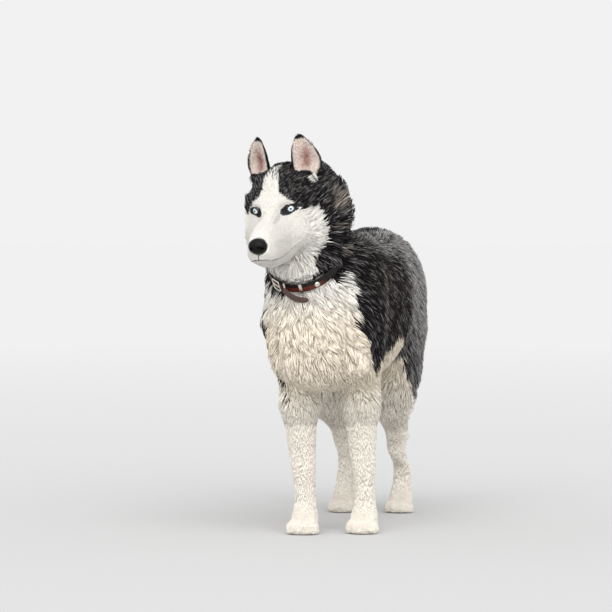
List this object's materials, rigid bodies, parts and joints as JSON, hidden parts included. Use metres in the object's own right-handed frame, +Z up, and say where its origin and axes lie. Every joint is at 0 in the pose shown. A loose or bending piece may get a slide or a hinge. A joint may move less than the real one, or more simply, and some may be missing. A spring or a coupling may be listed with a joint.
{
  "type": "siberian husky",
  "caption": "Life-size standing siberian husky, black and white, pale blue eyes, head turned a little to its right, leather collar.",
  "frame": {"origin": "on the floor, under the middle of the dog's box", "axes": "+Z up, the dog faces -Y, +X is the dog's left side"},
  "size_m": [0.2792, 0.9702, 0.8006],
  "materials": {
    "coat_white": "long white and cream fur",
    "coat_black": "long black fur, grizzled with white tips on the back",
    "eye": "wet, pale ice-blue iris",
    "nose_leather": "moist black nose leather",
    "collar_leather": "worn dark brown leather",
    "collar_metal": "polished nickel"
  },
  "bodies": {
    "root": {"head": "coat_white", "neck": "coat_black", "torso": "coat_black", "tail": "coat_black", "foreleg_left": "coat_white", "foreleg_right": "coat_white", "hindleg_left": "coat_white", "hindleg_right": "coat_white", "ear_left": "coat_black", "ear_right": "coat_black", "eye_left": "eye", "eye_right": "eye", "nose": "nose_leather", "collar_strap": "collar_leather", "collar_strap_end": "collar_leather", "collar_buckle": "collar_metal", "collar_loop": "collar_metal", "collar_ring": "collar_metal", "collar_stud": "collar_metal"}
  },
  "joints": []
}
